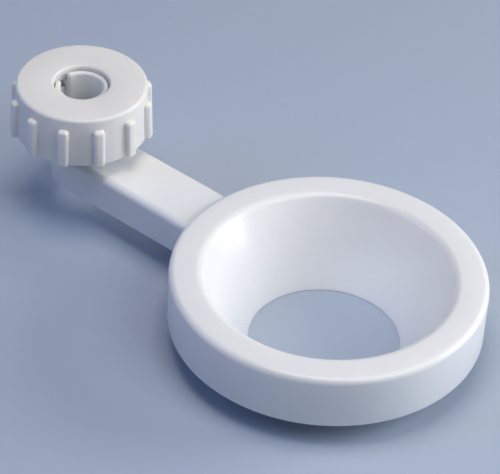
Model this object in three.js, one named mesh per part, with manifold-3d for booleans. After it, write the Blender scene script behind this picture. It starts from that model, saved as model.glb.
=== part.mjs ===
// Funnel holder that clamps to the rod of a laboratory retort stand.
// One moulding carries a ring with a 60 degree funnel seat, a straight arm and a threaded boss.
// A split collet sits in the boss, and a ribbed nut screws down over both to grip the rod.
// Millimetres, +Z up along the rod, +X from the rod to the ring. The origin is on the rod's axis,
// level with the lower edge of the ring's skirt. The moulding is three meshes with a fine gap
// between them: the ring, the arm and the boss.

import * as THREE from 'three';
import { mergeVertices } from 'three/addons/utils/BufferGeometryUtils.js';
import Module from 'manifold-3d';

// ---- Driving dimensions ----

const GAP = 0.3; // between neighbouring meshes

const RING = {
  offset: 96.6, // rod axis to ring axis
  outerRadius: 46.0,
  skirtDraft: 0.15,
  topZ: 17.0,
  lipRadius: 36.7,
  throatRadius: 22.0,
  throatZ: -8.35,
  wall: 2.2,
  topFillet: 1.9,
  lipFillet: 1.6,
};

const ARM = {
  topZ: 14.3,
  bottomZ: 0.9,
  topHalfWidth: 10.15,
  bottomHalfWidth: 8.7,
  wall: 2.3,
  topFillet: 2.2,
  ribCount: 3,
  ribThickness: 1.8,
  ribDepth: 9.0,
};

const THREAD = {
  pitch: 3.0,
  height: 1.1,
  rootWidth: 1.8,
  crestWidth: 0.9,
  clearance: 0.35,
  sink: 0.25, // how far a ridge is buried in its wall
  runOut: 0.7, // radians over which a ridge rises to full height
  endSink: 0.1, // how much deeper its two ends are buried
  stepsPerTurn: 28,
};

const BOSS = {
  proud: 0.15, // how far its foot stands out past the arm's sides
  coreRadius: 10.3,
  topZ: 28.9,
  rodHoleRadius: 6.7,
  socketFloorZ: 15.6,
  threadBottomZ: 16.6,
  threadTopZ: 27.7,
};

const COLLET = {
  boreRadius: 6.5,
  bottomZ: 17.0,
  bottomRadius: 7.6,
  taperTopZ: 29.9,
  taperTopRadius: 8.6,
  flangeRadius: 9.9,
  flangeTopZ: 31.8,
  lipRadius: 7.9,
  lipTopZ: 34.5,
  slotWidth: 4.5,
  slotTurnDegrees: 4,
};

const NUT = {
  topZ: 35.9,
  bottomZ: 19.75,
  topRadius: 19.75,
  bottomRadius: 20.3,
  holeRadius: 8.4,
  topThickness: 3.8,
  sleeveWall: 2.2,
  skirtWall: 2.3,
  grooveTopZ: 31.8,
  threadBottomZ: 21.1,
  threadTopZ: 30.1,
};

const NUT_RIB = {
  count: 12,
  phaseDegrees: -2.5,
  width: 3.3,
  proud: 1.7,
  belowTop: 3.6,
  edgeRadius: 0.8,
  tipFillet: 0.3,
  sink: 1.0, // how far a rib is buried in the nut's wall
};

const RING_SEGMENTS = 72;
const CLAMP_SEGMENTS = 48;
const ARC_POINTS = 3; // steps in each fillet

// ---- Solids ----

const wasm = await Module();
wasm.setup();

/** Turns a closed three.js geometry into a manifold solid. */
function toSolid(geometry) {
  const bare = geometry.clone();
  bare.deleteAttribute('normal');
  bare.deleteAttribute('uv');
  const merged = mergeVertices(bare);
  return new wasm.Manifold(new wasm.Mesh({
    numProp: 3,
    vertProperties: merged.attributes.position.array,
    triVerts: new Uint32Array(merged.index.array),
  }));
}

/** Turns a manifold solid back into a three.js geometry. */
function toGeometry(solid) {
  const mesh = solid.getMesh();
  const geometry = new THREE.BufferGeometry();
  geometry.setAttribute('position', new THREE.BufferAttribute(mesh.vertProperties, 3));
  geometry.setIndex(new THREE.BufferAttribute(mesh.triVerts, 1));
  geometry.computeVertexNormals();
  return geometry;
}

/** Joins several solids. */
function union(solids) {
  return solids.reduce((joined, solid) => joined.add(solid));
}

/** Outline through corners given as [x, y, fillet], with each corner rounded off by its fillet. */
function filletedOutline(corners) {
  const outline = new THREE.Shape();
  corners.forEach(([x, y, fillet = 0], index) => {
    const corner = new THREE.Vector2(x, y);
    const previous = new THREE.Vector2(...corners.at(index - 1));
    const next = new THREE.Vector2(...corners[(index + 1) % corners.length]);
    const entry = previous.sub(corner).setLength(fillet).add(corner);
    const exit = next.sub(corner).setLength(fillet).add(corner);
    if (index === 0) outline.moveTo(entry.x, entry.y);
    else outline.lineTo(entry.x, entry.y);
    if (fillet > 0) outline.quadraticCurveTo(x, y, exit.x, exit.y);
  });
  return outline.closePath();
}

/** Solid of revolution about Z from corners [radius, z, fillet], listed outer side upwards first. */
function revolve(corners, segments) {
  const profile = filletedOutline(corners).getPoints(ARC_POINTS);
  const closed = profile.filter((point, i) => i === 0 || !point.equals(profile[i - 1]));
  if (!closed[0].equals(closed.at(-1))) closed.push(closed[0].clone());
  return toSolid(new THREE.LatheGeometry(closed, segments).rotateX(Math.PI / 2));
}

/** Box centred at x, y and z. */
function block(width, depth, height, x, y, z) {
  return toSolid(new THREE.BoxGeometry(width, depth, height).translate(x, y, z));
}

/** Upright round bar or cone from its radius at the bottom to its radius at the top. */
function upright(bottomRadius, topRadius, bottomZ, topZ, segments) {
  return toSolid(new THREE.CylinderGeometry(topRadius, bottomRadius, topZ - bottomZ, segments)
    .rotateX(Math.PI / 2).translate(0, 0, (topZ + bottomZ) / 2));
}

/** Helical thread ridge that stands out of (side 1) or into (side -1) a round wall. */
function threadRidge(wallRadius, side, bottomZ, topZ, startAngle) {
  const section = new THREE.Shape([
    new THREE.Vector2(-THREAD.sink, -THREAD.rootWidth / 2),
    new THREE.Vector2(THREAD.height, -THREAD.crestWidth / 2),
    new THREE.Vector2(THREAD.height, THREAD.crestWidth / 2),
    new THREE.Vector2(-THREAD.sink, THREAD.rootWidth / 2),
  ]);
  const turns = (topZ - bottomZ) / THREAD.pitch;
  const sweep = turns * 2 * Math.PI;
  const steps = Math.round(turns * THREAD.stepsPerTurn);
  const ridge = new THREE.ExtrudeGeometry(section, { depth: sweep, steps, bevelEnabled: false });
  const position = ridge.attributes.position;
  for (let i = 0; i < position.count; i += 1) {
    const angle = position.getZ(i);
    const nearestEnd = Math.min(angle, sweep - angle);
    const rise = Math.min(1, nearestEnd / THREAD.runOut);
    const level = (position.getX(i) + THREAD.sink) * rise - THREAD.sink - (1 - rise) * THREAD.endSink;
    const radius = wallRadius + side * level;
    const z = bottomZ + (THREAD.pitch * angle) / (2 * Math.PI) - side * position.getY(i);
    const turned = startAngle + angle;
    position.setXYZ(i, radius * Math.cos(turned), radius * Math.sin(turned), z);
  }
  return toSolid(ridge);
}

// ---- Funnel ring ----

/** Ring axis at the local origin: outer skirt, flat rim and funnel seat as one thin-walled section. */
function funnelRing() {
  const halfAngle = Math.atan2(RING.lipRadius - RING.throatRadius, RING.topZ - RING.throatZ);
  const levelWall = RING.wall / Math.cos(halfAngle);
  const ceilingZ = RING.topZ - RING.wall;
  const seatRadiusAtCeiling = RING.lipRadius - RING.wall * Math.tan(halfAngle);
  const skirtInnerRadius = RING.outerRadius - RING.wall;
  return toGeometry(revolve([
    [RING.outerRadius - RING.skirtDraft, 0],
    [RING.outerRadius, RING.topZ, RING.topFillet],
    [RING.lipRadius, RING.topZ, RING.lipFillet],
    [RING.throatRadius, RING.throatZ],
    [RING.throatRadius + levelWall, RING.throatZ],
    [seatRadiusAtCeiling + levelWall, ceilingZ],
    [skirtInnerRadius, ceilingZ],
    [skirtInnerRadius + RING.skirtDraft, 0],
  ], RING_SEGMENTS));
}

// ---- Arm ----

/** Half the arm's drafted width at a height, carried on past its top and bottom. */
function armHalfWidth(z) {
  const draft = (ARM.topHalfWidth - ARM.bottomHalfWidth) / (ARM.topZ - ARM.bottomZ);
  return ARM.bottomHalfWidth + draft * (z - ARM.bottomZ);
}

/** Radius of the boss's drafted foot at a height. */
function footRadius(z) {
  return armHalfWidth(z) + BOSS.proud;
}

/** Arm's cross-section, seen along X: an upside-down channel with drafted sides. */
function armSection() {
  const ceilingZ = ARM.topZ - ARM.wall;
  const innerTop = armHalfWidth(ceilingZ) - ARM.wall;
  const innerBottom = ARM.bottomHalfWidth - ARM.wall;
  return filletedOutline([
    [-ARM.bottomHalfWidth, ARM.bottomZ],
    [-innerBottom, ARM.bottomZ],
    [-innerTop, ceilingZ],
    [innerTop, ceilingZ],
    [innerBottom, ARM.bottomZ],
    [ARM.bottomHalfWidth, ARM.bottomZ],
    [ARM.topHalfWidth, ARM.topZ, ARM.topFillet],
    [-ARM.topHalfWidth, ARM.topZ, ARM.topFillet],
  ]);
}

/** Arm from the boss to the ring, hollow from below, with cross ribs in the hollow. */
function arm() {
  const alongX = new THREE.Matrix4().makeBasis(
    new THREE.Vector3(0, 1, 0), new THREE.Vector3(0, 0, 1), new THREE.Vector3(1, 0, 0));
  const channel = new THREE.ExtrudeGeometry(armSection(), {
    depth: RING.offset, bevelEnabled: false, curveSegments: ARC_POINTS,
  }).applyMatrix4(alongX);
  const ringEdgeX = RING.offset - RING.outerRadius;
  const ribSpacing = (ringEdgeX - BOSS.coreRadius) / (ARM.ribCount + 1);
  const ribWidth = 2 * (ARM.bottomHalfWidth - ARM.wall) + 1;
  const ribZ = ARM.topZ - ARM.wall / 2 - ARM.ribDepth / 2;
  const ribs = Array.from({ length: ARM.ribCount }, (_, i) => block(
    ARM.ribThickness, ribWidth, ARM.ribDepth, BOSS.coreRadius + ribSpacing * (i + 1), 0, ribZ));
  const overrun = 1;
  const bossSpace = upright(
    footRadius(ARM.bottomZ - overrun) + GAP, footRadius(ARM.topZ + overrun) + GAP,
    ARM.bottomZ - overrun, ARM.topZ + overrun, CLAMP_SEGMENTS);
  const ringRadius = RING.outerRadius + GAP;
  const ringSpace = upright(ringRadius, ringRadius, ARM.bottomZ - overrun, ARM.topZ + overrun, RING_SEGMENTS)
    .translate([RING.offset, 0, 0]);
  const behindRod = block(overrun, 3 * ARM.topHalfWidth, 3 * ARM.topZ, overrun / 2, 0, 0);
  const blank = union([toSolid(channel), ...ribs]);
  return toGeometry([bossSpace, ringSpace, behindRod].reduce(
    (left, cutter) => left.subtract(cutter), blank));
}

// ---- Clamp boss ----

/** Radius of the collet's taper at a height, carried on past both its ends. */
function colletTaperRadius(z) {
  const slope = (COLLET.taperTopRadius - COLLET.bottomRadius) / (COLLET.taperTopZ - COLLET.bottomZ);
  return COLLET.bottomRadius + slope * (z - COLLET.bottomZ);
}

/** Boss at the arm's end: drafted foot, threaded neck, tapered socket and rod hole. */
function clampBoss() {
  const socketRadius = (z) => colletTaperRadius(z) + THREAD.clearance;
  const body = revolve([
    [footRadius(ARM.bottomZ), ARM.bottomZ],
    [BOSS.coreRadius, ARM.topZ],
    [BOSS.coreRadius, BOSS.topZ, 0.6],
    [socketRadius(BOSS.topZ), BOSS.topZ],
    [socketRadius(BOSS.socketFloorZ), BOSS.socketFloorZ],
    [BOSS.rodHoleRadius, BOSS.socketFloorZ],
    [BOSS.rodHoleRadius, ARM.bottomZ],
  ], CLAMP_SEGMENTS);
  const thread = threadRidge(BOSS.coreRadius, 1, BOSS.threadBottomZ, BOSS.threadTopZ, 0);
  return toGeometry(body.add(thread));
}

// ---- Split collet ----

/** Tapered sleeve: flange under the nut, lip in the nut's hole, one slot facing away from the ring. */
function splitCollet() {
  const sleeve = revolve([
    [COLLET.bottomRadius, COLLET.bottomZ],
    [COLLET.taperTopRadius, COLLET.taperTopZ],
    [COLLET.flangeRadius, COLLET.taperTopZ],
    [COLLET.flangeRadius, COLLET.flangeTopZ],
    [COLLET.lipRadius, COLLET.flangeTopZ],
    [COLLET.lipRadius, COLLET.lipTopZ, 0.4],
    [COLLET.boreRadius, COLLET.lipTopZ, 0.6],
    [COLLET.boreRadius, COLLET.bottomZ],
  ], CLAMP_SEGMENTS);
  const reach = COLLET.flangeRadius + 1;
  const midZ = (COLLET.bottomZ + COLLET.lipTopZ) / 2;
  const slotHeight = COLLET.lipTopZ - COLLET.bottomZ + 2;
  const slot = block(reach, COLLET.slotWidth, slotHeight, -reach / 2, 0, midZ)
    .rotate([0, 0, COLLET.slotTurnDegrees]);
  return toGeometry(sleeve.subtract(slot));
}

// ---- Clamp nut ----

/** One grip rib, standing upright against the nut's drafted wall on the +X side. */
function nutRib() {
  const half = NUT_RIB.width / 2 - NUT_RIB.edgeRadius;
  const proud = NUT_RIB.proud - NUT_RIB.edgeRadius;
  const section = filletedOutline([
    [-NUT_RIB.sink, -half],
    [proud, -half, NUT_RIB.tipFillet],
    [proud, half, NUT_RIB.tipFillet],
    [-NUT_RIB.sink, half],
  ]);
  const height = NUT.topZ - NUT_RIB.belowTop - NUT.bottomZ - 2 * NUT_RIB.edgeRadius;
  const lean = Math.atan2(NUT.bottomRadius - NUT.topRadius, NUT.topZ - NUT.bottomZ);
  const rib = new THREE.ExtrudeGeometry(section, {
    depth: height,
    bevelThickness: NUT_RIB.edgeRadius,
    bevelSize: NUT_RIB.edgeRadius,
    bevelSegments: 2,
    curveSegments: 1,
  });
  const foot = NUT.bottomZ + NUT_RIB.edgeRadius;
  return rib.rotateY(-lean).translate(NUT.bottomRadius, 0, foot);
}

/** Grip ribs, evenly spaced around the nut. */
function nutRibs() {
  const phase = THREE.MathUtils.degToRad(NUT_RIB.phaseDegrees);
  return Array.from({ length: NUT_RIB.count }, (_, i) => toSolid(
    nutRib().rotateZ(phase + (i * 2 * Math.PI) / NUT_RIB.count)));
}

/** Nut: capped top with the collet's hole, outer skirt with ribs, threaded inner sleeve. */
function clampNut() {
  const threadWallRadius = BOSS.coreRadius + THREAD.clearance + THREAD.height;
  const sleeveRadius = threadWallRadius + NUT.sleeveWall;
  const body = revolve([
    [NUT.bottomRadius, NUT.bottomZ],
    [NUT.topRadius, NUT.topZ, 1.0],
    [NUT.holeRadius, NUT.topZ, 0.8],
    [NUT.holeRadius, NUT.topZ - NUT.topThickness],
    [threadWallRadius, NUT.topZ - NUT.topThickness],
    [threadWallRadius, NUT.bottomZ],
    [sleeveRadius, NUT.bottomZ],
    [sleeveRadius, NUT.grooveTopZ],
    [NUT.topRadius - NUT.skirtWall, NUT.grooveTopZ],
    [NUT.bottomRadius - NUT.skirtWall, NUT.bottomZ],
  ], CLAMP_SEGMENTS);
  const turnsUp = (NUT.threadBottomZ - BOSS.threadBottomZ) / THREAD.pitch;
  const start = (turnsUp + 0.5) * 2 * Math.PI;
  const thread = threadRidge(threadWallRadius, -1, NUT.threadBottomZ, NUT.threadTopZ, start);
  return toGeometry(union([body, thread, ...nutRibs()]));
}

// ---- Assembly ----

/** Named mesh in one of the object's white plastics. */
function piece(name, geometry, color, roughness) {
  const material = new THREE.MeshStandardMaterial({ color, roughness, metalness: 0 });
  const mesh = new THREE.Mesh(geometry, material);
  mesh.name = name;
  return mesh;
}

const ring = piece('funnel_ring', funnelRing(), 0xe6e8ec, 0.3);
ring.position.x = RING.offset;

const holder = new THREE.Group();
holder.add(ring);
holder.add(piece('arm', arm(), 0xe6e8ec, 0.35));
holder.add(piece('clamp_boss', clampBoss(), 0xe6e8ec, 0.35));

const clamp = new THREE.Group();
clamp.add(piece('split_collet', splitCollet(), 0xeef0f1, 0.4));
clamp.add(piece('clamp_nut', clampNut(), 0xe3e2e1, 0.55));

const funnelHolder = new THREE.Group();
funnelHolder.add(holder, clamp);

export default funnelHolder;
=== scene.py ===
"""Funnel holder for a retort stand: the finished look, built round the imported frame.

The ring, arm and boss are one moulding, so one skin stands for their three frame nodes.
The collet and the nut get a skin of their own. Sizes are metres unless a name says otherwise.
"""

from __future__ import annotations

import logging
import math
from contextlib import contextmanager
from dataclasses import dataclass, field
from enum import Enum
from typing import Any, Callable, Iterator

import bmesh
import bpy
from mathutils import Matrix, Vector


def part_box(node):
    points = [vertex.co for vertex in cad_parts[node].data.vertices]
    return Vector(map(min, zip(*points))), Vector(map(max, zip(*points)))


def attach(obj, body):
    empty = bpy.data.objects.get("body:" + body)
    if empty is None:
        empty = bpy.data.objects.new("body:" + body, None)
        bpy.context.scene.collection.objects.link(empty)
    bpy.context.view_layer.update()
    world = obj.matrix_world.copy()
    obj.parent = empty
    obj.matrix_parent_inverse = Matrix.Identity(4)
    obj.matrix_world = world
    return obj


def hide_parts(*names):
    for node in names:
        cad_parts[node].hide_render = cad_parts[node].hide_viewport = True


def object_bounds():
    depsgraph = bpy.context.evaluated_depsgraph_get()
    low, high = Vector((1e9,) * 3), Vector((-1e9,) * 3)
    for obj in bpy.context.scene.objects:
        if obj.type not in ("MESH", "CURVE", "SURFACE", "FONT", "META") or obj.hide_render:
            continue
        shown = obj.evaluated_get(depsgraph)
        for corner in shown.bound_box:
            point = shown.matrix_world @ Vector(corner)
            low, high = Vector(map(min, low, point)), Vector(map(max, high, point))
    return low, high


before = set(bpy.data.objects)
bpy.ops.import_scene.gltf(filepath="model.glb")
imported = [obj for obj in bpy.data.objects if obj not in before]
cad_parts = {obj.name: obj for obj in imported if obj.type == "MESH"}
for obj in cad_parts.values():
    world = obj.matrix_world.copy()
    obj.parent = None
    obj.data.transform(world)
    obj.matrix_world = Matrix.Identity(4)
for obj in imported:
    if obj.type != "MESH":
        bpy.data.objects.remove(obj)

LOG = logging.getLogger("funnel_holder")
MM = 0.001
NEAR = 0.002 * MM  # how close counts as the same place
MERGE = 0.0001 * MM  # how close two vertices are merged
FULL_TURN = 2 * math.pi
Colour = tuple[float, float, float]
CAD_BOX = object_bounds()
CAD_RING_X = sum(corner.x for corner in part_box("funnel_ring")) / 2


# ---- Bench tools: how every mesh is shaped ----


class Join(Enum):
    """How one solid is combined with another."""

    ADD = "UNION"
    CUT = "DIFFERENCE"


class Facing(Enum):
    """Which way a thread's ridge stands from its wall."""

    OUT = 1
    IN = -1


@dataclass(frozen=True)
class Corner:
    """One corner of a turned outline, in millimetres.

    Attributes:
        radius: Distance from the turning axis.
        height: Height in the frame.
        fillet: How far the corner is rounded back along its two sides.
        steps: Facets across the rounding.
    """

    radius: float
    height: float
    fillet: float = 0.0
    steps: int = 3


def deselect() -> None:
    """Leaves nothing selected, so that an operator acts only on what is picked next."""
    bpy.ops.object.select_all(action="DESELECT")


class Workpiece:
    """A mesh object on the bench, shaped with edit-mode tools and modifiers."""

    def __init__(self, name: str) -> None:
        """Takes over the primitive that was just added.

        Args:
            name: Name for the object and its mesh.
        """
        self.obj: bpy.types.Object = bpy.context.object
        self.obj.name = name
        self.obj.data.name = name
        self.settle()

    def hold(self) -> None:
        """Selects this piece alone and makes it the active one."""
        deselect()
        self.obj.select_set(True)
        bpy.context.view_layer.objects.active = self.obj

    def settle(self) -> None:
        """Moves the object's place, turn and size into its mesh."""
        self.hold()
        bpy.ops.object.transform_apply(location=True, rotation=True, scale=True)

    @contextmanager
    def editing(self) -> Iterator[None]:
        """Keeps the piece in edit mode for the length of a with block."""
        self.hold()
        bpy.ops.object.mode_set(mode="EDIT")
        bpy.ops.mesh.select_mode(type="VERT")
        try:
            yield
        finally:
            bpy.ops.object.mode_set(mode="OBJECT")

    def pick_verts(self, wanted: Callable[[Vector], bool]) -> None:
        """Selects the vertices that a test accepts, and nothing else.

        Args:
            wanted: Test on a vertex's place.
        """
        bpy.ops.mesh.select_mode(type="VERT")
        bpy.ops.mesh.select_all(action="DESELECT")
        mesh = bmesh.from_edit_mesh(self.obj.data)
        for vert in mesh.verts:
            vert.select = wanted(vert.co)
        mesh.select_flush_mode()
        bmesh.update_edit_mesh(self.obj.data)

    def pick_edges(self, wanted: Callable[[bmesh.types.BMEdge], bool]) -> None:
        """Selects the edges that a test accepts, and nothing else.

        Args:
            wanted: Test on an edge.
        """
        bpy.ops.mesh.select_mode(type="EDGE")
        bpy.ops.mesh.select_all(action="DESELECT")
        mesh = bmesh.from_edit_mesh(self.obj.data)
        mesh.normal_update()
        chosen = [edge for edge in mesh.edges if wanted(edge)]
        for edge in chosen:
            edge.select_set(True)
        bmesh.update_edit_mesh(self.obj.data)

    def round_picked(self, size: float, steps: int) -> None:
        """Bevels the selected edges.

        Args:
            size: How far the rounding reaches from each edge.
            steps: Facets across the rounding.
        """
        bpy.ops.mesh.bevel(offset=size, offset_type="OFFSET", segments=steps, profile=0.5,
                           affect="EDGES", clamp_overlap=True)

    def face_outwards(self) -> None:
        """Merges doubled vertices and turns every face outwards."""
        bpy.ops.mesh.select_all(action="SELECT")
        bpy.ops.mesh.remove_doubles(threshold=MERGE)
        bpy.ops.mesh.normals_make_consistent(inside=False)

    def combine(self, tool: Workpiece, how: Join) -> None:
        """Joins another solid to this one, or cuts it away, and uses it up.

        Args:
            tool: The other solid.
            how: Whether it is added or cut.
        """
        self.hold()
        boolean = self.obj.modifiers.new(how.name, "BOOLEAN")
        boolean.operation = how.value
        boolean.solver = "EXACT"
        boolean.object = tool.obj
        bpy.ops.object.modifier_apply(modifier=boolean.name)
        bpy.data.objects.remove(tool.obj)

    def copies_round(self, count: int, phase: float) -> Workpiece:
        """Repeats the piece at even angles round the rod's axis and joins the copies.

        Args:
            count: How many there are in all.
            phase: Angle of the first one, in radians.

        Returns:
            One piece that holds them all.
        """
        copies = []
        for number in range(count):
            copy = self.obj.copy()
            copy.data = self.obj.data.copy()
            bpy.context.collection.objects.link(copy)
            copy.rotation_euler.z = phase + number * FULL_TURN / count
            copies.append(copy)
        name = self.obj.name
        bpy.data.objects.remove(self.obj)
        deselect()
        for copy in copies:
            copy.select_set(True)
        bpy.context.view_layer.objects.active = copies[0]
        bpy.ops.object.transform_apply(location=True, rotation=True, scale=True)
        bpy.ops.object.join()
        return Workpiece(name)

    def smooth(self, sharp_above: float) -> None:
        """Shades the piece smooth, except across edges sharper than an angle in degrees."""
        self.hold()
        bpy.ops.object.shade_smooth_by_angle(angle=math.radians(sharp_above))


def turned(name: str, outline: list[Corner], segments: int, axis_x: float = 0.0,
           hollow: bool = True) -> Workpiece:
    """Turns an outline round an upright axis, as a lathe does.

    Args:
        name: Name of the new piece.
        outline: Corners, in order round the section.
        segments: Facets round the axis.
        axis_x: Where the axis stands, in metres.
        hollow: True if the outline closes on itself; False if its two ends get flat caps.

    Returns:
        The turned piece, closed and facing outwards.
    """
    first = outline[0]
    deselect()
    bpy.ops.mesh.primitive_circle_add(
        vertices=segments, radius=first.radius * MM, fill_type="NOTHING",
        location=(axis_x, 0, first.height * MM))
    work = Workpiece(name)
    stations = outline + [first] if hollow else outline
    with work.editing():
        bpy.ops.mesh.select_all(action="SELECT")
        for before, after in zip(stations, stations[1:]):
            rise = (after.height - before.height) * MM
            bpy.ops.mesh.extrude_edges_move(TRANSFORM_OT_translate={"value": (0, 0, rise)})
            growth = after.radius / before.radius
            bpy.ops.transform.resize(
                value=(growth, growth, 1), center_override=(axis_x, 0, after.height * MM))
        if not hollow:
            for end in (outline[0], outline[-1]):
                work.pick_verts(loop_test(end, axis_x))
                bpy.ops.mesh.edge_face_add()
        work.face_outwards()
        for corner in outline:
            if corner.fillet:
                work.pick_verts(loop_test(corner, axis_x))
                work.round_picked(corner.fillet * MM, corner.steps)
    return work


def loop_test(corner: Corner, axis_x: float) -> Callable[[Vector], bool]:
    """Makes the test that finds the ring of vertices at one corner of a turned piece.

    Args:
        corner: The corner.
        axis_x: Where the turning axis stands.

    Returns:
        A test on a vertex's place.
    """
    def on_loop(place: Vector) -> bool:
        """True if the place is on the corner's ring."""
        radius = math.hypot(place.x - axis_x, place.y)
        return abs(radius - corner.radius * MM) < NEAR and abs(place.z - corner.height * MM) < NEAR

    return on_loop


def block(name: str, low: tuple[float, float, float], high: tuple[float, float, float]) -> Workpiece:
    """Adds a block between two corners given in millimetres.

    Args:
        name: Name of the new piece.
        low: Lowest corner.
        high: Highest corner.

    Returns:
        The block.
    """
    deselect()
    middle = [(a + b) / 2 * MM for a, b in zip(low, high)]
    size = [(b - a) * MM for a, b in zip(low, high)]
    bpy.ops.mesh.primitive_cube_add(size=1, location=middle, scale=size)
    return Workpiece(name)


@dataclass(frozen=True)
class Thread:
    """A helical ridge on a round wall, in millimetres.

    Attributes:
        wall: Radius of the wall that it stands on.
        facing: Whether it stands out of the wall or into its bore.
        bottom: Height of the lower end's middle.
        top: Height of the upper end's middle.
        start: Angle of the lower end, in radians.
        pitch: Rise for each turn.
        height: How far the ridge stands from the wall.
        root: Ridge's width at the wall.
        crest: Ridge's width at its top.
        sink: How far the ridge reaches into its wall.
        steps_per_turn: Facets in one turn.
        run_out_steps: Facets over which each end dives into the wall.
    """

    wall: float
    facing: Facing
    bottom: float
    top: float
    start: float
    pitch: float = 3.0
    height: float = 1.1
    root: float = 1.8
    crest: float = 0.9
    sink: float = 0.25
    steps_per_turn: int = 48
    run_out_steps: int = 7

    def ridge(self, name: str) -> Workpiece:
        """Sweeps the ridge's section up the helix, one short step at a time.

        Args:
            name: Name of the new piece.

        Returns:
            The closed ridge, diving into the wall at both ends.
        """
        side = self.facing.value
        depth = self.height + self.sink
        middle = self.wall + side * (depth / 2 - self.sink)
        deselect()
        bpy.ops.mesh.primitive_plane_add(size=1, rotation=(math.pi / 2, 0, 0))
        work = Workpiece(name)
        steps = round((self.top - self.bottom) / self.pitch * self.steps_per_turn)
        angle = FULL_TURN / self.steps_per_turn
        with work.editing():
            bpy.ops.mesh.select_all(action="SELECT")
            bpy.ops.transform.resize(value=(depth * MM, 1, self.root * MM), center_override=(0, 0, 0))
            work.pick_verts(lambda place: place.x * side > 0)
            bpy.ops.transform.resize(value=(1, 1, self.crest / self.root), center_override=(0, 0, 0))
            bpy.ops.mesh.select_all(action="SELECT")
            bpy.ops.transform.translate(value=(middle * MM, 0, self.bottom * MM))
            self.shift_outwards(0, -side * self.height)
            for step in range(steps):
                bpy.ops.mesh.spin(steps=1, angle=-angle, center=(0, 0, 0), axis=(0, 0, 1))
                bpy.ops.transform.translate(value=(0, 0, self.pitch / self.steps_per_turn * MM))
                self.shift_outwards((step + 1) * angle, side * self.rise(step, steps))
            work.face_outwards()
            bpy.ops.mesh.faces_shade_smooth()
        work.obj.rotation_euler.z = self.start
        work.settle()
        return work

    def rise(self, step: int, steps: int) -> float:
        """Change in the ridge's level over one step, which is nothing away from its ends."""
        change = self.height / self.run_out_steps
        if step < self.run_out_steps:
            return change
        return -change if step >= steps - self.run_out_steps else 0.0

    def shift_outwards(self, angle: float, distance: float) -> None:
        """Moves the selected section along the radius at an angle."""
        if distance:
            direction = Vector((math.cos(angle), math.sin(angle), 0))
            bpy.ops.transform.translate(value=direction * distance * MM)


# ---- Finishes: how every surface is coloured ----


class Signal:
    """A number that varies over a surface: one output socket, with arithmetic."""

    def __init__(self, bench: MaterialBench, socket: bpy.types.NodeSocket) -> None:
        """Wraps a socket of a material that is being built."""
        self.bench = bench
        self.socket = socket

    def math(self, operation: str, *others: Signal | float) -> Signal:
        """Adds one Math node on this signal.

        Args:
            operation: Blender's name for the operation.
            others: The operation's other inputs.

        Returns:
            The result.
        """
        node = self.bench.node(
            "ShaderNodeMath", {"operation": operation},
            {number: value for number, value in enumerate((self, *others))})
        return Signal(self.bench, node.outputs[0])

    def __add__(self, other: Signal | float) -> Signal:
        """self + other."""
        return self.math("ADD", other)

    __radd__ = __add__

    def __sub__(self, other: Signal | float) -> Signal:
        """self - other."""
        return self.math("SUBTRACT", other)

    def __rsub__(self, other: float) -> Signal:
        """other - self."""
        return (self * -1.0) + other

    def __mul__(self, other: Signal | float) -> Signal:
        """self * other."""
        return self.math("MULTIPLY", other)

    __rmul__ = __mul__

    def step_up(self, low: float, high: float) -> Signal:
        """Rises smoothly from 0 to 1 as the signal goes from low to high, or falls if low is higher."""
        node = self.bench.node(
            "ShaderNodeMapRange", {"interpolation_type": "SMOOTHSTEP", "clamp": True},
            {0: self, 1: low, 2: high})
        return Signal(self.bench, node.outputs[0])


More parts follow.
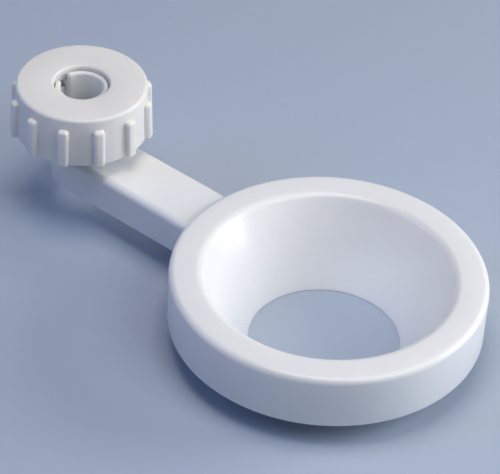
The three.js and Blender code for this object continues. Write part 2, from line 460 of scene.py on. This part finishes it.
class MaterialBench:
    """A new material and the one method that adds its nodes."""

    def __init__(self, name: str) -> None:
        """Starts an empty node material."""
        self.material = bpy.data.materials.new(name)
        self.material.use_nodes = True
        self.tree = self.material.node_tree
        self.tree.nodes.clear()

    def node(self, kind: str, settings: dict[str, Any] | None = None,
             inputs: dict[str | int, Any] | None = None) -> bpy.types.Node:
        """Adds a node.

        Args:
            kind: Node type.
            settings: Properties to set first.
            inputs: Values, signals or sockets, by input name or number.

        Returns:
            The node.
        """
        made = self.tree.nodes.new(kind)
        for key, value in (settings or {}).items():
            setattr(made, key, value)
        for key, value in (inputs or {}).items():
            if isinstance(value, Signal):
                value = value.socket
            if isinstance(value, bpy.types.NodeSocket):
                self.tree.links.new(value, made.inputs[key])
            else:
                made.inputs[key].default_value = value
        return made

    def place(self) -> bpy.types.NodeSocket:
        """The surface point's place in the frame."""
        return self.node("ShaderNodeTexCoord").outputs["Object"]

    def noise(self, where: bpy.types.NodeSocket, grain: float, detail: float = 3.0,
              roughness: float = 0.5, warp: float = 0.0) -> Signal:
        """Adds a noise whose features are about a given size.

        Args:
            where: Coordinates in metres.
            grain: Size of a feature, in millimetres.
            detail: How many finer layers are added.
            roughness: Strength of the finer layers.
            warp: How far the pattern is swirled.

        Returns:
            The noise, about 0.5 on average.
        """
        node = self.node("ShaderNodeTexNoise", {"noise_dimensions": "3D"}, {
            "Vector": where, "Scale": 1 / (grain * MM), "Detail": detail,
            "Roughness": roughness, "Distortion": warp})
        return Signal(self, node.outputs[0])

    def stretched(self, where: bpy.types.NodeSocket, scale: tuple[float, float, float],
                  turn: tuple[float, float, float] = (0, 0, 0)) -> bpy.types.NodeSocket:
        """Turns and stretches coordinates.

        Args:
            where: Coordinates.
            scale: Factor along each axis after the turn.
            turn: Angles in radians.

        Returns:
            The new coordinates.
        """
        turned_round = self.node("ShaderNodeMapping", None, {"Vector": where, "Rotation": turn})
        return self.node("ShaderNodeMapping", None, {
            "Vector": turned_round.outputs[0], "Scale": scale}).outputs[0]

    def near_axis(self, where: bpy.types.NodeSocket, axis_x: float, radius: float,
                  fade: float) -> Signal:
        """Marks what stands close to an upright axis.

        Args:
            where: Coordinates in metres.
            axis_x: Where the axis stands, in metres.
            radius: Radius at which the mark is gone, in metres.
            fade: How far inside that radius the mark starts to fade, in metres.

        Returns:
            1 near the axis, 0 outside the radius.
        """
        parts = self.node("ShaderNodeSeparateXYZ", None, {0: where})
        across = Signal(self, parts.outputs[0]) - axis_x
        aside = Signal(self, parts.outputs[1])
        distance = (across * across + aside * aside).math("SQRT")
        return distance.step_up(radius, radius - fade)

    def blend(self, amount: Signal, low: Any, high: Any) -> bpy.types.NodeSocket:
        """Mixes two colours.

        Args:
            amount: 0 for the first colour, 1 for the second.
            low: First colour, as numbers or a socket.
            high: Second colour.

        Returns:
            The mixed colour.
        """
        mix = self.node("ShaderNodeMix", {"data_type": "RGBA", "clamp_factor": True})
        self.tree.links.new(amount.socket, mix.inputs[0])
        for number, colour in ((6, low), (7, high)):
            if isinstance(colour, bpy.types.NodeSocket):
                self.tree.links.new(colour, mix.inputs[number])
            else:
                mix.inputs[number].default_value = (*colour, 1)
        return mix.outputs[2]

    def bump(self, height: Signal, depth: float, below: bpy.types.NodeSocket | None = None
             ) -> bpy.types.NodeSocket:
        """Adds relief.

        Args:
            height: Relief, 0 to 1.
            depth: What 1 stands for, in millimetres.
            below: Normal from coarser relief.

        Returns:
            The new normal.
        """
        inputs: dict[str | int, Any] = {"Height": height, "Distance": depth * MM, "Strength": 1.0}
        if below is not None:
            inputs["Normal"] = below
        return self.node("ShaderNodeBump", None, inputs).outputs[0]

    def finish(self, inputs: dict[str | int, Any]) -> bpy.types.Material:
        """Ends the material with its shader.

        Args:
            inputs: The shader's sockets.

        Returns:
            The material.
        """
        shader = self.node("ShaderNodeBsdfPrincipled", None, inputs)
        self.node("ShaderNodeOutputMaterial", None, {"Surface": shader.outputs[0]})
        return self.material


@dataclass(frozen=True)
class MouldedPlastic:
    """White polypropylene as it comes from the mould.

    Attributes:
        name: Name of the material.
        light: Colour of the fuller patches.
        shade: Colour of the duller patches.
        roughness: Middle roughness.
        swing: How far roughness varies either way.
        grain: Size of the skin's fine grain, in millimetres.
        grain_depth: Depth of the fine grain, in millimetres.
        ripple_depth: Depth of the slow waviness of a cooled moulding, in millimetres.
        scratch_depth: Depth of the hairline scratches, in millimetres.
        polished_axis: X of the upright axis that a polished zone surrounds, in metres.
        polished_radius: Radius of the polished zone, in millimetres. 0 means there is none.
        polish: How much smoother the polished zone is.
        polish_fade: Width of the polished zone's soft edge, in millimetres.
        patch_size: Size of the slow patches of tone and gloss, in millimetres.
        mottle_size: Size of the finer mottle in the tone, in millimetres.
        mottle_share: How much of the tone is mottle.
        ripple_size: Length of the slow waviness, in millimetres.
        scratch_turns: Direction of each family of scratches, as angles in radians.
        scratch_size: Spacing of the scratches, in millimetres.
        scratch_stretch: How much shorter a scratch is across than along.
        scratch_patch: Size of the scratched patches, in millimetres.
        scratch_dulling: How much rougher a scratch is.
        ior: Refractive index of polypropylene.
        glow: Share of the light that spreads under the skin.
        glow_reach: How far that light spreads, in millimetres.
        glow_tint: How far each colour spreads, against the reach.
    """

    name: str
    light: Colour
    shade: Colour
    roughness: float
    swing: float
    grain: float = 0.35
    grain_depth: float = 0.004
    ripple_depth: float = 0.04
    scratch_depth: float = 0.003
    polished_axis: float = 0.0
    polished_radius: float = 0.0
    polish: float = 0.06
    polish_fade: float = 1.5
    patch_size: float = 26.0
    mottle_size: float = 3.5
    mottle_share: float = 0.25
    ripple_size: float = 16.0
    scratch_turns: tuple[tuple[float, float, float], ...] = (
        (0.3, 0.2, 0.5), (1.1, 0.7, 2.0), (0.6, 1.9, 3.6))
    scratch_size: float = 0.5
    scratch_stretch: float = 0.035
    scratch_patch: float = 14.0
    scratch_dulling: float = 0.1
    ior: float = 1.49
    glow: float = 0.4
    glow_reach: float = 2.2
    glow_tint: Colour = (1.0, 0.95, 0.9)

    def scratches(self, bench: MaterialBench, where: bpy.types.NodeSocket) -> Signal:
        """Hairline scratches in three directions, each short and sparse.

        Args:
            bench: The material being built.
            where: Coordinates in metres.

        Returns:
            1 on a scratch, 0 elsewhere.
        """
        total: Signal | float = 0.0
        for turn in self.scratch_turns:
            drawn_out = bench.stretched(where, (1.0, self.scratch_stretch, 1.0), turn)
            lines = bench.noise(drawn_out, self.scratch_size, 1.0)
            patches = bench.noise(where, self.scratch_patch, 1.0, 0.5, turn[0])
            total = lines.step_up(0.70, 0.76) * patches.step_up(0.5, 0.62) + total
        return total

    def make(self) -> bpy.types.Material:
        """Builds the node material."""
        bench = MaterialBench(self.name)
        where = bench.place()
        patches = bench.noise(where, self.patch_size, 4.0, 0.55, 0.6)
        mottle = bench.noise(where, self.mottle_size, 3.0, 0.6)
        grain = bench.noise(where, self.grain, 2.0)
        ripple = bench.noise(where, self.ripple_size, 1.0)
        hair = self.scratches(bench, where)
        tone = (patches.step_up(0.35, 0.68) * (1 - self.mottle_share)
                + mottle.step_up(0.35, 0.7) * self.mottle_share)
        colour = bench.blend(tone, self.light, self.shade)
        rough = (patches - 0.5) * (2 * self.swing) + (grain - 0.5) * self.swing + self.roughness
        rough = rough + hair * self.scratch_dulling
        if self.polished_radius:
            zone = bench.near_axis(where, self.polished_axis, self.polished_radius * MM,
                                   self.polish_fade * MM)
            rough = rough - zone * self.polish
        normal = bench.bump(ripple, self.ripple_depth)
        normal = bench.bump(grain, self.grain_depth, normal)
        normal = bench.bump(1.0 - hair, self.scratch_depth, normal)
        return bench.finish({
            "Base Color": colour, "Roughness": rough, "Normal": normal, "IOR": self.ior,
            "Subsurface Weight": self.glow, "Subsurface Radius": self.glow_tint,
            "Subsurface Scale": self.glow_reach * MM})


# ---- Pieces ----


@dataclass
class FunnelRing:
    """Ring with a flat rim, a 60 degree seat and an outer skirt. Sizes in millimetres."""

    lip_radius: float = 36.7
    throat_radius: float = 22.0
    skirt_bottom: float = 0.0
    wall: float = 2.2
    draft: float = 0.15
    outer_rounding: float = 1.9
    lip_rounding: float = 1.5
    inner_rounding: float = 1.0
    throat_rounding: float = 0.5
    edge_rounding: float = 0.35
    segments: int = 192
    axis_x: float = field(init=False)
    radius: float = field(init=False)
    top: float = field(init=False)
    throat: float = field(init=False)

    def __post_init__(self) -> None:
        """Takes the ring's place and outer size from the frame."""
        low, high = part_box("funnel_ring")
        self.axis_x = CAD_RING_X
        self.radius = (high.x - low.x) / 2 / MM
        self.top = high.z / MM
        self.throat = low.z / MM

    def build(self) -> Workpiece:
        """Turns the ring's thin-walled section.

        Returns:
            The ring.
        """
        lean = math.atan2(self.lip_radius - self.throat_radius, self.top - self.throat)
        level_wall = self.wall / math.cos(lean)
        ceiling = self.top - self.wall
        seat_at_ceiling = self.lip_radius - self.wall * math.tan(lean)
        inner = self.radius - self.wall
        return turned("ring", [
            Corner(self.radius - self.draft, self.skirt_bottom, self.edge_rounding),
            Corner(self.radius, self.top, self.outer_rounding, 8),
            Corner(self.lip_radius, self.top, self.lip_rounding, 8),
            Corner(self.throat_radius, self.throat, self.throat_rounding),
            Corner(self.throat_radius + level_wall, self.throat, self.throat_rounding),
            Corner(seat_at_ceiling + level_wall, ceiling, self.inner_rounding, 4),
            Corner(inner, ceiling, self.inner_rounding, 4),
            Corner(inner + self.draft, self.skirt_bottom, self.edge_rounding),
        ], self.segments, self.axis_x)


@dataclass
class Arm:
    """Straight drafted arm, cored out underneath between cross ribs. Sizes in millimetres."""

    top_half_width: float = 10.15
    bottom_half_width: float = 8.7
    top_rounding: float = 2.4
    wall: float = 2.3
    rib: float = 1.8
    pockets: int = 4
    pocket_inset: float = 0.25
    pocket_overrun: float = 1.0
    pocket_rounding: float = 1.0
    ceiling_rounding: float = 0.5
    edge_rounding: float = 0.35
    end_in_boss: float = 1.2
    end_in_skirt: float = 1.8
    coring_margin: float = 1.2
    low: float = field(init=False)
    high: float = field(init=False)

    def __post_init__(self) -> None:
        """Takes the arm's heights from the frame."""
        bottom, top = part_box("arm")
        self.low = bottom.z / MM
        self.high = top.z / MM

    def draft(self, work: Workpiece, low: float, high: float, bottom_share: float) -> None:
        """Narrows a block's lower face across the arm.

        Args:
            work: The block, in edit mode.
            low: Height of the block's lower face.
            high: Height of the block's upper face.
            bottom_share: Lower width as a share of the upper width.
        """
        work.pick_verts(lambda place: place.z / MM < (low + high) / 2)
        bpy.ops.transform.resize(value=(1, bottom_share, 1), center_override=(0, 0, low * MM))

    def build(self, start: float, end: float) -> Workpiece:
        """Shapes the arm's outside.

        Args:
            start: X of the end inside the boss.
            end: X of the end inside the ring's skirt.

        Returns:
            The solid arm.
        """
        half = self.top_half_width
        work = block("arm", (start, -half, self.low), (end, half, self.high))
        with work.editing():
            self.draft(work, self.low, self.high, self.bottom_half_width / half)
            work.pick_edges(lambda edge: self.runs_along(edge, self.high))
            work.round_picked(self.top_rounding * MM, 10)
            work.pick_edges(lambda edge: self.runs_along(edge, self.low))
            work.round_picked(self.edge_rounding * MM, 3)
        return work

    def runs_along(self, edge: bmesh.types.BMEdge, height: float) -> bool:
        """True if an edge runs along the arm at a height."""
        one, two = (vert.co for vert in edge.verts)
        level = all(abs(place.z - height * MM) < NEAR for place in (one, two))
        return level and abs(one.y - two.y) < NEAR

    def pocket(self, number: int, start: float, length: float) -> Workpiece:
        """Makes the solid that cores out one pocket under the arm.

        Args:
            number: Which pocket it is.
            start: X where it starts.
            length: Its length.

        Returns:
            The cutter.
        """
        half = self.top_half_width - self.wall - self.pocket_inset
        ceiling = self.high - self.wall
        floor = self.low - self.pocket_overrun
        work = block(f"pocket_{number}", (start, -half, floor), (start + length, half, ceiling))
        share = (self.bottom_half_width - self.wall) / half
        with work.editing():
            self.draft(work, floor, ceiling, share)
            work.pick_edges(lambda edge: abs(edge.verts[0].co.z - edge.verts[1].co.z) > MM)
            work.round_picked(self.pocket_rounding * MM, 4)
            work.pick_edges(lambda edge: all(vert.co.z > ceiling * MM - NEAR for vert in edge.verts))
            work.round_picked(self.ceiling_rounding * MM, 3)
        return work

    def core_out(self, work: Workpiece, start: float, end: float) -> None:
        """Cuts the row of pockets underneath, which leaves the cross ribs between them.

        Args:
            work: The moulding.
            start: X where the coring starts.
            end: X where it ends.
        """
        pitch = (end - start + self.rib) / self.pockets
        for number in range(self.pockets):
            cutter = self.pocket(number, start + number * pitch, pitch - self.rib)
            work.combine(cutter, Join.CUT)


@dataclass
class ClampBoss:
    """Boss on the rod's axis: drafted foot, threaded neck and tapered socket. Millimetres."""

    foot_radius: float = 8.85
    core_radius: float = 10.3
    rod_hole: float = 6.7
    socket_floor: float = 15.6
    socket_floor_radius: float = 7.84
    socket_mouth_radius: float = 8.87
    lead_in: float = 0.4
    mouth_depth: float = 0.5
    overrun: float = 1.0
    inner_rounding: float = 0.3
    foot_rounding: float = 0.35
    top_rounding: float = 0.6
    thread_bottom: float = 16.6
    thread_top: float = 27.7
    segments: int = 128
    low: float = field(init=False)
    top: float = field(init=False)

    def __post_init__(self) -> None:
        """Takes the boss's heights from the frame."""
        bottom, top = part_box("clamp_boss")
        self.low = bottom.z / MM
        self.top = top.z / MM

    def build(self, arm_top: float) -> Workpiece:
        """Turns the boss's outside and winds its thread on.

        Args:
            arm_top: Height of the arm's top face, where the foot meets the neck.

        Returns:
            The boss, without its hole.
        """
        work = turned("boss", [
            Corner(self.foot_radius, self.low, self.foot_rounding),
            Corner(self.core_radius, arm_top),
            Corner(self.core_radius, self.top, self.top_rounding, 4),
        ], self.segments, hollow=False)
        thread = Thread(self.core_radius, Facing.OUT, self.thread_bottom, self.thread_top, 0.0)
        work.combine(thread.ridge("boss_thread"), Join.ADD)
        return work

    def hole(self) -> Workpiece:
        """Turns the cutter for the rod's hole and the collet's tapered socket."""
        return turned("boss_hole", [
            Corner(self.rod_hole + self.lead_in + self.overrun, self.low - self.overrun),
            Corner(self.rod_hole + self.lead_in, self.low),
            Corner(self.rod_hole, self.low + self.lead_in),
            Corner(self.rod_hole, self.socket_floor, self.inner_rounding, 2),
            Corner(self.socket_floor_radius, self.socket_floor, self.inner_rounding, 2),
            Corner(self.socket_mouth_radius, self.top - self.mouth_depth),
            Corner(self.socket_mouth_radius + self.lead_in, self.top),
            Corner(self.socket_mouth_radius + self.lead_in + self.overrun, self.top + self.overrun),
        ], self.segments, hollow=False)


@dataclass
class HolderMoulding:
    """The one moulding: ring, arm and boss."""

    ring: FunnelRing = field(default_factory=FunnelRing)
    arm: Arm = field(default_factory=Arm)
    boss: ClampBoss = field(default_factory=ClampBoss)
    sharp_above_deg: float = 28.0
    plastic: MouldedPlastic = MouldedPlastic(
        "holder_polypropylene", (0.88, 0.89, 0.91), (0.85, 0.86, 0.89), 0.3, 0.05,
        polished_axis=CAD_RING_X, polished_radius=36.7)

    def build(self) -> bpy.types.Object:
        """Joins the three shapes into one skin.

        Returns:
            The finished piece.
        """
        skirt_x = self.ring.axis_x / MM - self.ring.radius
        work = self.ring.build()
        work.combine(self.arm.build(self.arm.end_in_boss, skirt_x + self.arm.end_in_skirt), Join.ADD)
        work.combine(self.boss.build(self.arm.high), Join.ADD)
        work.combine(self.boss.hole(), Join.CUT)
        margin = self.arm.coring_margin
        self.arm.core_out(work, self.boss.core_radius + margin, skirt_x - margin)
        work.obj.name = work.obj.data.name = "holder_moulding"
        work.smooth(self.sharp_above_deg)
        return work.obj

    def dress(self, piece: bpy.types.Object) -> None:
        """Gives the piece its finish and its place in the assembly."""
        piece.data.materials.clear()
        piece.data.materials.append(self.plastic.make())
        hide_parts("funnel_ring", "arm", "clamp_boss")
        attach(piece, "holder")


@dataclass
class SplitCollet:
    """Tapered sleeve with a flange, a lip and one slot. Sizes in millimetres."""

    bore: float = 6.5
    bottom_radius: float = 7.6
    taper_radius: float = 8.6
    taper_top: float = 29.9
    flange_top: float = 31.8
    lip_radius: float = 7.9
    segments: int = 120
    slot_width: float = 4.5
    slot_turn_deg: float = 4.0
    slot_rounding: float = 0.2
    lip_rounding: float = 0.35
    bore_rounding: float = 0.7
    foot_rounding: float = 0.4
    edge_rounding: float = 0.3
    corner_rounding: float = 0.2
    overrun: float = 1.0
    crease_deg: float = 30.0
    sharp_above_deg: float = 40.0
    low: float = field(init=False)
    top: float = field(init=False)
    flange_radius: float = field(init=False)
    plastic: MouldedPlastic = MouldedPlastic(
        "collet_polypropylene", (0.88, 0.88, 0.88), (0.85, 0.85, 0.86), 0.34, 0.05)

    def __post_init__(self) -> None:
        """Takes the collet's heights and widest radius from the frame."""
        bottom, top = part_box("split_collet")
        self.low = bottom.z / MM
        self.top = top.z / MM
        self.flange_radius = top.y / MM

    def build(self) -> bpy.types.Object:
        """Turns the sleeve, opens its slot and rounds the slot's edges.

        Returns:
            The finished piece.
        """
        work = turned("split_collet", [
            Corner(self.bottom_radius, self.low, self.edge_rounding, 2),
            Corner(self.taper_radius, self.taper_top, self.corner_rounding, 2),
            Corner(self.flange_radius, self.taper_top, self.edge_rounding, 2),
            Corner(self.flange_radius, self.flange_top, self.edge_rounding, 2),
            Corner(self.lip_radius, self.flange_top, self.corner_rounding, 2),
            Corner(self.lip_radius, self.top, self.lip_rounding, 4),
            Corner(self.bore, self.top, self.bore_rounding, 5),
            Corner(self.bore, self.low, self.foot_rounding, 2),
        ], self.segments)
        work.combine(self.slot_cutter(), Join.CUT)
        with work.editing():
            work.pick_edges(self.bounds_slot)
            work.round_picked(self.slot_rounding * MM, 2)
            work.face_outwards()
        work.smooth(self.sharp_above_deg)
        return work.obj

    def slot_cutter(self) -> Workpiece:
        """Makes the block that opens the slot, which faces away from the ring.

        Returns:
            The cutter, turned round the rod's axis.
        """
        half = self.slot_width / 2
        cutter = block("slot", (-self.flange_radius - self.overrun, -half, self.low - self.overrun),
                       (0, half, self.top + self.overrun))
        cutter.obj.rotation_euler.z = math.radians(self.slot_turn_deg)
        cutter.settle()
        return cutter

    def bounds_slot(self, edge: bmesh.types.BMEdge) -> bool:
        """True if an edge is on the rim of one of the slot's two walls."""
        turn = math.radians(self.slot_turn_deg)
        across = [vert.co.y * math.cos(turn) - vert.co.x * math.sin(turn) for vert in edge.verts]
        on_wall = all(abs(abs(side) - self.slot_width / 2 * MM) < NEAR for side in across)
        behind = all(vert.co.x < 0 for vert in edge.verts)
        return on_wall and behind and edge.calc_face_angle(0) > math.radians(self.crease_deg)

    def dress(self, piece: bpy.types.Object) -> None:
        """Gives the piece its finish and its place in the assembly."""
        piece.data.materials.clear()
        piece.data.materials.append(self.plastic.make())
        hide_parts("split_collet")
        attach(piece, "collet")


@dataclass
class ClampNut:
    """Ribbed round nut: capped top with a hole, outer skirt and threaded sleeve. Millimetres."""

    top_radius: float = 19.75
    bottom_radius: float = 20.3
    hole: float = 8.4
    cap: float = 3.8
    thread_wall: float = 11.75
    sleeve_wall: float = 2.2
    skirt_wall: float = 2.3
    groove_top: float = 31.8
    thread_bottom: float = 21.1
    thread_top: float = 30.1
    boss_thread_bottom: float = 16.6
    rib_count: int = 12
    rib_phase_deg: float = -2.5
    rib_width: float = 3.3
    rib_proud: float = 1.7
    rib_below_top: float = 3.6
    rib_depth: float = 2.6
    rib_rounding: float = 0.95
    foot_rounding: float = 0.4
    top_rounding: float = 0.95
    hole_rounding: float = 0.7
    hole_under_rounding: float = 0.2
    mouth_rounding: float = 0.6
    groove_rounding: float = 0.6
    edge_rounding: float = 0.3
    thread_offset_turns: float = 0.5
    sharp_above_deg: float = 35.0
    segments: int = 192
    low: float = field(init=False)
    top: float = field(init=False)
    plastic: MouldedPlastic = MouldedPlastic(
        "nut_polypropylene", (0.85, 0.84, 0.83), (0.81, 0.80, 0.79), 0.46, 0.06,
        grain=0.28, grain_depth=0.010)

    def __post_init__(self) -> None:
        """Takes the nut's heights from the frame."""
        bottom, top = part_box("clamp_nut")
        self.low = bottom.z / MM
        self.top = top.z / MM

    def build(self) -> bpy.types.Object:
        """Turns the nut, winds its thread and adds the grip ribs.

        Returns:
            The finished piece.
        """
        ceiling = self.top - self.cap
        sleeve = self.thread_wall + self.sleeve_wall
        work = turned("clamp_nut", [
            Corner(self.bottom_radius, self.low, self.foot_rounding),
            Corner(self.top_radius, self.top, self.top_rounding, 6),
            Corner(self.hole, self.top, self.hole_rounding, 6),
            Corner(self.hole, ceiling, self.hole_under_rounding, 2),
            Corner(self.thread_wall, ceiling, self.foot_rounding),
            Corner(self.thread_wall, self.low, self.mouth_rounding, 2),
            Corner(sleeve, self.low, self.edge_rounding, 2),
            Corner(sleeve, self.groove_top, self.groove_rounding),
            Corner(self.top_radius - self.skirt_wall, self.groove_top, self.groove_rounding),
            Corner(self.bottom_radius - self.skirt_wall, self.low, self.edge_rounding, 2),
        ], self.segments)
        turns_up = (self.thread_bottom - self.boss_thread_bottom) / Thread.pitch
        thread = Thread(self.thread_wall, Facing.IN, self.thread_bottom, self.thread_top,
                        (turns_up + self.thread_offset_turns) * FULL_TURN)
        work.combine(thread.ridge("nut_thread"), Join.ADD)
        work.combine(self.ribs(), Join.ADD)
        work.smooth(self.sharp_above_deg)
        return work.obj

    def ribs(self) -> Workpiece:
        """Makes the ring of upright grip ribs, leaning with the nut's drafted wall.

        Returns:
            All the ribs as one piece.
        """
        height = self.top - self.rib_below_top - self.low
        wall_lean = math.atan2(self.bottom_radius - self.top_radius, self.top - self.low)
        outer = self.bottom_radius + self.rib_proud
        rib = block("ribs", (outer - self.rib_depth, -self.rib_width / 2, self.low),
                    (outer, self.rib_width / 2, self.low + height))
        with rib.editing():
            bpy.ops.mesh.select_all(action="SELECT")
            rib.round_picked(self.rib_rounding * MM, 5)
            rib.pick_verts(lambda place: place.z / MM > self.low + height / 2)
            bpy.ops.transform.translate(value=(-math.tan(wall_lean) * height * MM, 0, 0))
        return rib.copies_round(self.rib_count, math.radians(self.rib_phase_deg))

    def dress(self, piece: bpy.types.Object) -> None:
        """Gives the piece its finish and its place in the assembly."""
        piece.data.materials.clear()
        piece.data.materials.append(self.plastic.make())
        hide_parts("clamp_nut")
        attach(piece, "nut")


# ---- Studio ----


@dataclass(frozen=True)
class SoftBox:
    """One square studio light.

    Attributes:
        name: Name of the light.
        azimuth: Compass angle round the object, in degrees, as the camera's.
        elevation: Angle above the floor, in degrees.
        distance: Distance from the object.
        size: Side of the lit square.
        power: Light output in watts.
        colour: Colour of the light.
    """

    name: str
    azimuth: float
    elevation: float
    distance: float
    size: float
    power: float
    colour: Colour = (1, 1, 1)


def direction(azimuth: float, elevation: float) -> Vector:
    """Unit vector towards a place at an azimuth and elevation in degrees.

    Args:
        azimuth: 0 is towards -Y and 90 towards +X.
        elevation: Angle above the horizon.

    Returns:
        The vector.
    """
    turn, lift = math.radians(azimuth), math.radians(elevation)
    return Vector((math.sin(turn) * math.cos(lift), -math.cos(turn) * math.cos(lift), math.sin(lift)))


@dataclass(frozen=True)
class Studio:
    """Plain pale floor, soft lights and the camera."""

    azimuth: float = 38.02
    elevation: float = 39.04
    roll: float = 3.36
    distance: float = 0.753
    aside: float = 0.0219
    above: float = -0.0234
    lens: float = 187.2
    sensor: float = 36.0
    floor_size: float = 4.0
    floor_colours: tuple[Colour, Colour] = ((0.40, 0.47, 0.60), (0.42, 0.49, 0.62))
    floor_roughness: float = 0.9
    fibre_size: float = 4.0
    room_colour: Colour = (0.45, 0.55, 0.9)
    room_strength: float = 0.02
    lights: tuple[SoftBox, ...] = (
        SoftBox("key_light", 135, 20, 0.9, 0.45, 5.3, (1.0, 1.0, 0.98)),
        SoftBox("top_light", 30, 84, 0.9, 0.45, 3.55, (1.0, 0.91, 0.78)),
        SoftBox("side_light", 88, 48, 0.9, 0.45, 2.2, (0.82, 0.91, 1.0)),
        SoftBox("rear_light", 315, 40, 0.9, 0.45, 1.9, (0.40, 0.55, 1.0)),
    )

    def build(self, ring_axis_x: float) -> None:
        """Sets up floor, lights, surroundings and camera.

        Args:
            ring_axis_x: Where the ring's axis stands, which the camera aims past.
        """
        self.lay_floor()
        target = Vector((ring_axis_x / 2, 0, 0))
        for light in self.lights:
            self.hang(light, target)
        self.surround()
        self.set_camera(Vector((ring_axis_x, 0, 0)))

    def lay_floor(self) -> None:
        """Lays the floor level with the lowest point of the object."""
        deselect()
        low, _ = CAD_BOX
        bpy.ops.mesh.primitive_plane_add(size=self.floor_size, location=(0, 0, low.z))
        floor = Workpiece("floor").obj
        bench = MaterialBench("floor_paper")
        colour = bench.blend(bench.noise(bench.place(), self.fibre_size), *self.floor_colours)
        floor.data.materials.append(
            bench.finish({"Base Color": colour, "Roughness": self.floor_roughness}))

    def hang(self, light: SoftBox, target: Vector) -> None:
        """Hangs one light so that it faces a target."""
        lamp = bpy.data.lights.new(light.name, "AREA")
        lamp.shape = "SQUARE"
        lamp.size = light.size
        lamp.energy = light.power
        lamp.color = light.colour
        holder = bpy.data.objects.new(light.name, lamp)
        bpy.context.scene.collection.objects.link(holder)
        towards = direction(light.azimuth, light.elevation)
        holder.location = target + towards * light.distance
        holder.rotation_euler = towards.to_track_quat("Z", "Y").to_euler()

    def surround(self) -> None:
        """Gives the room its dim, cool light."""
        world = bpy.data.worlds.new("studio")
        world.use_nodes = True
        background = world.node_tree.nodes["Background"]
        background.inputs["Color"].default_value = (*self.room_colour, 1)
        background.inputs["Strength"].default_value = self.room_strength
        bpy.context.scene.world = world
        bpy.context.scene.view_settings.view_transform = "Standard"

    def set_camera(self, subject: Vector) -> None:
        """Places the camera round the ring's axis, rolled and moved within its own view plane."""
        back = direction(self.azimuth, self.elevation)
        level_right = Vector((0, 0, 1)).cross(back).normalized()
        level_up = back.cross(level_right)
        tilt = math.radians(self.roll)
        right = level_right * math.cos(tilt) + level_up * math.sin(tilt)
        up = level_up * math.cos(tilt) - level_right * math.sin(tilt)
        data = bpy.data.cameras.new("camera")
        data.lens = self.lens
        data.sensor_width = self.sensor
        camera = bpy.data.objects.new("camera", data)
        bpy.context.scene.collection.objects.link(camera)
        place = subject + back * self.distance - right * self.aside - up * self.above
        camera.matrix_world = Matrix((
            (right.x, up.x, back.x, place.x), (right.y, up.y, back.y, place.y),
            (right.z, up.z, back.z, place.z), (0, 0, 0, 1)))
        bpy.context.scene.camera = camera


def report(piece: bpy.types.Object) -> None:
    """Logs a finished piece's size and triangle count."""
    piece.data.calc_loop_triangles()
    size = ", ".join(f"{side / MM:.1f}" for side in piece.dimensions)
    LOG.info("%s: %s mm, %d triangles", piece.name, size, len(piece.data.loop_triangles))


def main() -> None:
    """Builds the holder piece by piece, then the studio."""
    logging.basicConfig(level=logging.INFO, format="%(name)s %(message)s")
    moulding = HolderMoulding()
    for maker in (moulding, SplitCollet(), ClampNut()):
        piece = maker.build()
        maker.dress(piece)
        report(piece)
    Studio().build(moulding.ring.axis_x)


if __name__ == "__main__":
    main()
